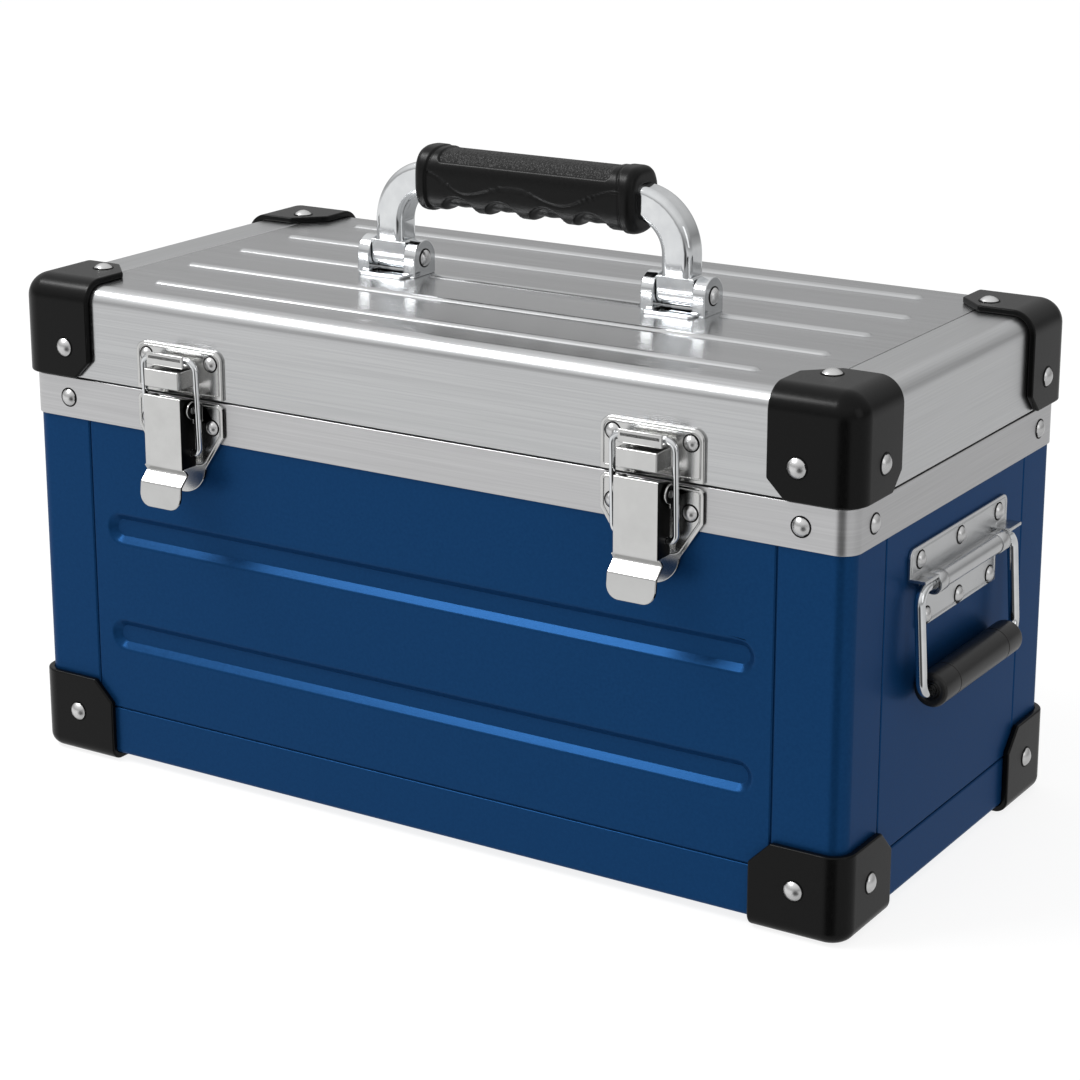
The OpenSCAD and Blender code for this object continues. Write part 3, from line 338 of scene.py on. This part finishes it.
def bent_wire(corners, bends, radius, closed=False):
    """Round wire, led through corners and bent round at each inner one by the bend radius given for it."""
    legs = zip(corners, corners[1:] + corners[:1], corners[2:] + corners[:2], bends)
    route = [] if closed else [corners[0]]
    for before, at, after, bend in legs:
        back, on = (before - at).normalized(), (after - at).normalized()
        half = back.angle(on) / 2
        centre = at + (back + on).normalized() * bend / math.sin(half)
        start, end = [(at + leg * bend / math.tan(half) - centre).normalized() for leg in (back, on)]
        route += [centre + start.slerp(end, step / BEND_STEPS) * bend for step in range(BEND_STEPS + 1)]
    if not closed:
        route.append(corners[-1])
    drawing = bpy.data.curves.new("wire drawing", "CURVE")
    drawing.dimensions = "3D"
    drawing.bevel_depth = radius * MM
    drawing.bevel_resolution = 6
    drawing.use_fill_caps = True
    run = drawing.splines.new("POLY")
    run.points.add(len(route) - 1)
    run.use_cyclic_u = closed
    for point, place in zip(run.points, route):
        point.co = (*(place * MM), 1)
    holder = bpy.data.objects.new("wire drawing", drawing)
    bpy.context.scene.collection.objects.link(holder)
    drawn = holder.evaluated_get(bpy.context.evaluated_depsgraph_get())
    shape = bmesh.new()
    shape.from_mesh(drawn.to_mesh())
    drawn.to_mesh_clear()
    bpy.data.objects.remove(holder)
    bmesh.ops.remove_doubles(shape, verts=shape.verts, dist=MERGE)
    bmesh.ops.recalc_face_normals(shape, faces=shape.faces)
    return shape


LATCH_X = 121                           # distance of the latches from the middle of the box
LATCH_PLATE_Y = CASE_FRONT - 1.5        # outer face of the latches' plates
BAIL_FOOT = (CASE_FRONT - 6.5, 160.5)   # depth and height of the latch bail's foot in its lever
DROP_PLATE_X = 210.5                    # outer face of the drop handles' plates
DROP_PIVOT = (214, 136.5)               # distance from the middle and height of the drop handles' barrels
ARM_X, PIN_Z = 75.5, 235.2              # how far out the carrying handle's arms are, and its pins' height
PIN_HEAD_X, PIN_HEAD_R = 16, 4.0        # distance of the pins' heads from the arm's middle, and their radius


def latch_wires(side, sign):
    """The latch's wire bail, and the raised borders pressed along the edges of its two plates."""
    foot = Vector((sign * LATCH_X, *BAIL_FOOT))
    reach = Vector((0, -1.5, 42.0))                         # from the foot up to the top bar
    half, end = Vector((14.6, 0, 0)), Vector((7.8, 0, 0))   # half the bail's width, and where its wire ends
    bail = bent_wire([foot + end, foot + half, foot + half + reach, foot - half + reach, foot - half,
                      foot - end], [3.5, 4.5, 4.5, 3.5], 1.4)
    show(bail, "latch_bail_" + side, [CHROME], sharp=CORNER)
    keeper = [(-22.4, 186.4), (22.4, 186.4), (22.4, 205.4), (-22.4, 205.4)]
    base = [(-22.4, 181.5), (-22.4, 168.9), (-12.2, 153.6), (12.2, 153.6), (22.4, 168.9), (22.4, 181.5)]
    for part, outline, bends in (("keeper", keeper, [1.2, 3.6, 3.6, 1.2]),
                                 ("base", base, [3, 6, 6, 3, 1.6, 1.6])):
        corners = [Vector((sign * LATCH_X + x, LATCH_PLATE_Y + 0.25, z)) for x, z in outline]
        border = bent_wire(corners, bends, 0.55, closed=True)
        show(border, "latch_%s_%s" % (part, side), [NICKEL], name="latch_%s_border_%s" % (part, side))


def folded_block(node, name, finish, low, high, roll_mm):
    """A short folded strip of sheet that fills the space between two corners, with its edges rolled over."""
    strip = bmesh.new()
    bmesh.ops.create_cube(strip, size=MM)
    bmesh.ops.scale(strip, verts=strip.verts, vec=[abs(b - a) for a, b in zip(low, high)])
    bmesh.ops.translate(strip, verts=strip.verts, vec=(Vector(low) + Vector(high)) / 2 * MM)
    bmesh.ops.bevel(strip, geom=strip.edges, offset=roll_mm * MM, segments=3, profile=0.5, affect="EDGES",
                    material=-1)
    show(strip, node, [finish], name=name)


def folds(side, sign):
    """The strip of the keeper's hook in front of the bail's top bar, and the webs that widen the drop
    handle's stops as far as its barrel."""
    front = CASE_FRONT - 11.2
    folded_block("latch_keeper_" + side, "latch_hook_strip_" + side, NICKEL,
                 (sign * LATCH_X - 10.2, front, 199.6), (sign * LATCH_X + 10.2, front + 1.2, 205.2), 0.4)
    for end, way in (("front", -1), ("rear", 1)):
        folded_block("drop_plate_" + side, "drop_stop_web_%s_%s" % (end, side), ZINC,
                     (sign * 210, CASE_Y + way * 36, 140.0), (sign * 217.5, CASE_Y + way * 43.8, 141.5), 0.3)


def stamp_into(whole, part, place):
    """Moves a part to its place, adds it to the whole and lets the part go."""
    bmesh.ops.transform(part, matrix=place, verts=part.verts)
    stamp = bpy.data.meshes.new("stamp")
    part.to_mesh(stamp)
    part.free()
    whole.from_mesh(stamp)
    bpy.data.meshes.remove(stamp)


def drop_handle_wires(side, sign):
    """The drop handle's steel bail, the border pressed round its plate and the collars of its barrel."""
    pivot = Vector((sign * DROP_PIVOT[0], CASE_Y, DROP_PIVOT[1]))
    down = Vector((sign * 2.9, 0, -44.4))                       # from the barrel to the grip
    across, inner = Vector((0, 47.5, 0)), Vector((0, 26, 0))    # half the bail's width, and where it ends
    bail = bent_wire([pivot - inner, pivot - across, pivot - across + down, pivot + across + down,
                      pivot + across, pivot + inner], [6.5] * 4, 2.4)
    show(bail, "drop_bail_" + side, [CHROME], sharp=CORNER)
    outline = [(-47.4, 151.9), (-47.4, 142.6), (-37.4, 142.6), (-37.4, 118.6), (37.4, 118.6), (37.4, 142.6),
               (47.4, 142.6), (47.4, 151.9)]
    corners = [Vector((sign * (DROP_PLATE_X - 0.2), CASE_Y + y, z)) for y, z in outline]
    border = bent_wire(corners, [1.2, 1, 1.2, 1.2, 1, 1.2, 2.6, 2.6], 0.5, closed=True)
    show(border, "drop_plate_" + side, [ZINC], name="drop_plate_border_" + side)
    collars = bmesh.new()
    for end in (-1, 1):
        collar = turned([(3.0, 27.6), (4.55, 27.6), (4.75, 27.9), (4.75, 35.2), (4.55, 35.5), (3.0, 35.5)])
        turn = Matrix.Rotation(QUARTER_TURN * end, 4, "X")
        stamp_into(collars, collar, Matrix.Translation(pivot * MM) @ turn)
    show(collars, "drop_plate_" + side, [ZINC], name="drop_barrel_collars_" + side, sharp=CORNER)


RIM_SLACK = 0.02        # how much less than the widest radius still counts as the rim of a rivet's head
RIM_DEPTH = 0.1         # a rim less deep than this is one ring
RIM_POINTS = 8          # the fewest vertices that make a ring


def loose_solids(shape):
    """The places of the vertices of each separate solid in a bmesh, in the same order every time."""
    left = dict.fromkeys(shape.verts)
    while left:
        solid = [left.popitem()[0]]
        for vertex in solid:            # the list grows while it is walked
            for edge in vertex.link_edges:
                other = edge.other_vert(vertex)
                if other in left:
                    del left[other]
                    solid.append(other)
        yield [vertex.co for vertex in solid]


def head_rim(places):
    """The middle of the rim of a rivet's head, the way that the head faces, and its radius in millimetres."""
    low = Vector([min(place[a] for place in places) for a in range(3)])
    high = Vector([max(place[a] for place in places) for a in range(3)])
    for axis in range(3):
        middle, along = (low + high) / 2, Vector([float(a == axis) for a in range(3)])
        reach = [(place - middle - along * (place - middle)[axis]).length for place in places]
        widest = max(reach)
        rim = [place[axis] for place, far in zip(places, reach) if far > widest - RIM_SLACK * MM]
        if len(rim) >= RIM_POINTS and max(rim) - min(rim) < RIM_DEPTH * MM:
            outwards = 1 if high[axis] - max(rim) < min(rim) - low[axis] else -1
            middle[axis] = rim[0]
            return middle, along * outwards, widest / MM
    return None


def shadow_ring(radius):
    """A thin black ring round a head of this radius: painted shadow where the head meets its sheet."""
    return turned([(radius - 0.3, -0.05), (radius + 0.45, -0.05), (radius + 0.4, 0.18), (radius + 0.1, 0.3),
                   (radius - 0.3, 0.3)], steps=24)


def rivet_shadow_rings(node):
    """A thin black ring round the head of each rivet of a node: painted shadow where each head meets its
    sheet.
    """
    rivets = bmesh.new()
    rivets.from_mesh(frame["nodes"][node].data)
    bmesh.ops.remove_doubles(rivets, verts=rivets.verts, dist=MERGE)
    shadow_rings = bmesh.new()
    for places in loose_solids(rivets):
        rim = head_rim(places)
        if rim:
            middle, facing, radius = rim
            turn = facing.to_track_quat("Z", "Y").to_matrix().to_4x4()
            stamp_into(shadow_rings, shadow_ring(radius), Matrix.Translation(middle) @ turn)
    rivets.free()
    show(shadow_rings, node, [RING_SHADOW], name=node + "_shadow_rings", sharp=CORNER)


def pin_shadow_rings():
    """The same black ring of painted shadow round the four heads of the carrying handle's pins."""
    shadow_rings = bmesh.new()
    for arm in (-ARM_X, ARM_X):
        for head in (-PIN_HEAD_X, PIN_HEAD_X):
            place = Matrix.Translation(Vector((arm + head, CASE_Y, PIN_Z)) * MM)
            turn = Matrix.Rotation(math.copysign(QUARTER_TURN, head), 4, "Y")
            stamp_into(shadow_rings, shadow_ring(PIN_HEAD_R), place @ turn)
    show(shadow_rings, "handle_pins", [RING_SHADOW], name="handle_pins_shadow_rings", sharp=CORNER)


def drop_sleeve(side):
    """Rubber sleeve turned about its bail: rolled rims, a shallow ring line near each end, and a bore."""
    low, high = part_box("drop_grip_" + side)
    half_l, radius = (high.y - low.y) / 2 / MM, (high.z - low.z) / 2 / MM
    rim, line = 1.6, half_l - 15        # the rolled rim's radius, and how far out the ring line lies
    arc = [(radius - rim + rim * math.sin(turn), half_l - rim + rim * math.cos(turn))
           for turn in [math.pi / 12 * k for k in range(7)]]
    upper = [(2.5, half_l - 1.4), (3.4, half_l - 1.4), (4.2, half_l - 0.5), (4.8, half_l)] + arc
    upper += [(radius, line + 0.4), (radius - 0.3, line + 0.1), (radius - 0.3, line - 0.1),
              (radius, line - 0.4)]
    sleeve = turned(upper + [(r, -height) for r, height in reversed(upper)], steps=64)
    place = Matrix.Translation((low + high) / 2) @ Matrix.Rotation(QUARTER_TURN, 4, "X")
    bmesh.ops.transform(sleeve, matrix=place, verts=sleeve.verts)
    show(sleeve, "drop_grip_" + side, [SLEEVE], sharp=math.radians(40))


for side, sign in SIDES.items():
    latch_wires(side, sign)
    folds(side, sign)
    drop_handle_wires(side, sign)
    drop_sleeve(side)
# black rings of painted contact shadow round every rivet and pin head
for node in RIVETS:
    rivet_shadow_rings(node)
pin_shadow_rings()


# ---- moulded grip of the carrying handle ----

def ease(low, high, value):
    """0 below low, 1 above high, and a smooth climb between."""
    t = min(1.0, max(0.0, (value - low) / (high - low)))
    return t * t * (3 - 2 * t)


# the wave's turning points and the finger hollows' middles, as shares of half the grip's length and height
WAVE = [(-1.0, 0.34), (-0.88, 0.30), (-0.52, -0.32), (-0.08, 0.06), (0.36, -0.34), (0.86, 0.32), (1.0, 0.36)]
FINGERS = [-0.61, -0.205, 0.205, 0.61]
PANEL_HALF_L = 45.0             # half the length of the pebbled panel


def wave_height(along):
    """Height of the moulded wave on the side of the grip, as a share of half its height."""
    for (x0, h0), (x1, h1) in zip(WAVE, WAVE[1:]):
        if along <= x1:
            return h0 + (h1 - h0) * ease(x0, x1, along)
    return WAVE[-1][1]


def inside_panel(x, up):
    """How far a place lies inside the ends of the pebbled panel, which are cut back at its long sides."""
    return PANEL_HALF_L - abs(x) - 14 * max(0.0, 0.72 - up)


def carrying_grip():
    """Moulded grip: a tube closed on itself with a collar at each end, four finger hollows below, a moulded
    wave on each side and a sunken pebbled panel on top."""
    low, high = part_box("handle_grip")
    centre = (low + high) / 2
    half_l, half_d, half_h = [size / 2 / MM for size in high - low]
    bore_d, bore_h, end_r = 7.1, 7.6, 3.4       # half sizes of the bore, and the rounding of the ends
    outer_rows, end_rows, inner_rows, around = 240, 8, 8, 156
    rows = outer_rows + 2 * end_rows + inner_rows

    def section(angle, wide, tall, power=2.7):
        """A point of the plain section, which is a rounded box."""
        c, s = math.cos(angle), math.sin(angle)
        return wide * math.copysign(abs(c) ** (2 / power), c), tall * math.copysign(abs(s) ** (2 / power), s)

    def sunk(x, up):
        """How deep the skin lies under the plain section, where up runs from -1 below to 1 on top."""
        along = x / half_l
        # between the collars, and deepest in the groove beside each
        collar = half_l - 6.5 - 2.5 * max(0.0, up) ** 2
        inside = ease(-0.5, 0.5, collar - abs(x))
        depth = 0.45 * inside + 0.5 * math.exp(-((abs(x) - collar) / 0.5) ** 2)
        # under the wave, with a line cut along it
        below = wave_height(along) - up
        lower = ease(-0.02, 0.05, below)
        depth += inside * (0.55 * lower + 0.80 * math.exp(-(below / 0.035) ** 2) * ease(-0.75, -0.55, up))
        # in the finger hollows, which have a low ridge down their middles
        for finger in FINGERS:
            gap = (along - finger) * half_l / 9.2
            hollow = 1 - gap * gap - ((up + 1) / 0.56) ** 2
            if hollow > 0:
                ridge = 0.35 * math.exp(-(gap / 0.25) ** 2) * ease(0.1, 0.8, hollow)
                depth += 2.2 * ease(-0.1, 0.55, hollow) - ridge
        return depth + 0.6 * ease(0.60, 0.68, up) * ease(0.0, 1.0, inside_panel(x, up))

    shape = bmesh.new()
    bmesh.ops.create_grid(shape, x_segments=rows, y_segments=around, size=0.5)
    for vertex in shape.verts:
        row = (vertex.co.x + 0.5) * rows
        angle = FULL_TURN * (vertex.co.y + 0.5)
        y, z = section(angle, half_d, half_h)
        if row <= outer_rows:
            x = (half_l - end_r) * (2 * row / outer_rows - 1)
            keep = 1 - sunk(x, z / half_h) / math.hypot(y, z)
            y, z = y * keep, z * keep
        elif row <= outer_rows + end_rows or row >= rows - end_rows:
            first = row <= outer_rows + end_rows
            turn = (row - outer_rows) / end_rows if first else (rows - row) / end_rows
            roll, blend = min(1.0, turn * 2) * QUARTER_TURN, max(0.0, turn * 2 - 1)
            keep = 1 - end_r * (1 - math.cos(roll)) / math.hypot(y, z)
            bore_y, bore_z = section(angle, bore_d, bore_h)
            y = y * keep * (1 - blend) + bore_y * blend
            z = z * keep * (1 - blend) + bore_z * blend
            x = (half_l - end_r + end_r * math.sin(roll)) * (1 if first else -1)
        else:
            x = half_l * (1 - 2 * (row - outer_rows - end_rows) / inner_rows)
            y, z = section(angle, bore_d, bore_h)
        vertex.co = centre + Vector((x, y, z)) * MM
    bmesh.ops.remove_doubles(shape, verts=shape.verts, dist=MERGE)
    bmesh.ops.recalc_face_normals(shape, faces=shape.faces)
    for face in shape.faces:
        middle = (face.calc_center_median() - centre) / MM
        up = middle.z / half_h
        if up > 0.62 and inside_panel(middle.x, up) > 0.8:
            face.material_index = 1
    show(shape, "handle_grip", [RUBBER, PEBBLED])


carrying_grip()


# ---- studio, with its sizes in metres ----

def glow_paper(name, colour, glow):
    """White studio paper that is lit from behind, so that shadows on it stay pale."""
    material, tree, shader = new_material(name, colour, Roughness=0.9, Specular_IOR_Level=0.0,
                                          Emission_Strength=glow)
    set_sockets(tree, shader, {"Emission Color": linear("#FFFFFF")})
    return material


def stage_piece(name, shape, finish, **seen_by):
    """A studio piece that only some rays see."""
    mesh = bpy.data.meshes.new(name)
    shape.to_mesh(mesh)
    shape.free()
    mesh.materials.append(finish)
    made = bpy.data.objects.new(name, mesh)
    bpy.context.scene.collection.objects.link(made)
    for ray, seen in seen_by.items():
        setattr(made, "visible_" + ray, seen)


def soft_box(name, size, place, look_at, watts):
    """A soft box that lights the object from a place and shows only in its reflections."""
    lamp = bpy.data.lights.new(name, "AREA")
    lamp.shape = "RECTANGLE"
    lamp.size, lamp.size_y = size
    lamp.energy = watts
    made = bpy.data.objects.new(name, lamp)
    made.location = place
    made.rotation_euler = (Vector(look_at) - Vector(place)).to_track_quat("-Z", "Y").to_euler()
    made.visible_camera = False
    bpy.context.scene.collection.objects.link(made)


BOX_MIDDLE = Vector((0, 0, 120)) * MM
floor_shape = bmesh.new()
bmesh.ops.create_grid(floor_shape, x_segments=1, y_segments=1, size=20)
bmesh.ops.translate(floor_shape, verts=floor_shape.verts, vec=(0, 0, -0.0004))
stage_piece("floor", floor_shape, glow_paper("floor paper, white", "#808080", 0.84), glossy=False)
dome_shape = bmesh.new()
bmesh.ops.create_icosphere(dome_shape, subdivisions=4, radius=25)
stage_piece("backdrop", dome_shape, glow_paper("backdrop paper, white", "#000000", 1.0), glossy=False,
            diffuse=False, shadow=False, transmission=False, volume_scatter=False)
soft_box("key", (0.9, 0.40), (-0.85, -0.68, 1.40), BOX_MIDDLE, 16)
soft_box("side fill", (0.7, 0.9), (1.7, -0.35, 0.75), BOX_MIDDLE, 1.5)
world = bpy.data.worlds.new("studio")
bpy.context.scene.world = world
world.use_nodes = True
sky = world.node_tree
ray = add_node(sky, "ShaderNodeTexCoord").outputs["Generated"]
way = add_node(sky, "ShaderNodeSeparateXYZ", {"Vector": ray}).outputs
height = add_node(sky, "ShaderNodeMapRange", {"Value": way["Z"], "From Min": -1.0, "From Max": 1.0})
walls = add_node(sky, "ShaderNodeValToRGB", {"Fac": height.outputs["Result"]})
# how bright the studio's walls are, from straight below at 0 to straight above at 1
WALL_LIGHT = [(0.0, 0.62), (0.36, 0.80), (0.46, 0.78), (0.50, 0.52),
              (0.56, 0.36), (0.64, 0.58), (0.80, 0.82), (1.0, 0.9)]
for position, _ in WALL_LIGHT[1:-1]:
    walls.color_ramp.elements.new(position)
for stop, (position, grey) in zip(walls.color_ramp.elements, WALL_LIGHT):
    stop.position = position
    stop.color = (grey, grey, grey, 1)
# the walls on the left and in front are brighter, apart from a dark doorway low in front that metal mirrors
diagonal = add_node(sky, "ShaderNodeMath", {0: way["X"], 1: way["Y"]}, operation="ADD").outputs[0]
slope = add_node(sky, "ShaderNodeMapRange", {"Value": diagonal, "From Min": -1.4, "From Max": 1.4,
                                             "To Min": 1.16, "To Max": 0.75})
ahead = add_node(sky, "ShaderNodeVectorMath", {0: ray, 1: (0.31, -0.88, -0.36)},
                 operation="DOT_PRODUCT").outputs["Value"]
doorway = add_node(sky, "ShaderNodeMapRange", {"Value": ahead, "From Min": 0.86, "From Max": 0.98,
                                               "To Min": 1.0, "To Max": 0.08},
                   interpolation_type="SMOOTHSTEP")
power = add_node(sky, "ShaderNodeMath", {0: slope.outputs["Result"], 1: doorway.outputs["Result"]},
                 operation="MULTIPLY").outputs[0]
set_sockets(sky, sky.nodes["Background"], {"Color": walls.outputs["Color"], "Strength": power})
bpy.context.scene.view_settings.view_transform = "Standard"


# ---- camera ----

YAW, PITCH = math.radians(32.19), math.radians(15.36)
AIM = Vector((2.9, CASE_Y, 161.5)) * MM
DISTANCE = 1274 * MM
towards_camera = Vector((math.sin(YAW) * math.cos(PITCH), -math.cos(YAW) * math.cos(PITCH), math.sin(PITCH)))
lens = bpy.data.cameras.new("camera")
lens.sensor_width = 36
lens.lens = 93.47
lens.shift_y = -0.1
camera = bpy.data.objects.new("camera", lens)
camera.location = AIM + towards_camera * DISTANCE
camera.rotation_mode = "QUATERNION"
camera.rotation_quaternion = (-towards_camera).to_track_quat("-Z", "Y")
bpy.context.scene.collection.objects.link(camera)
bpy.context.scene.camera = camera
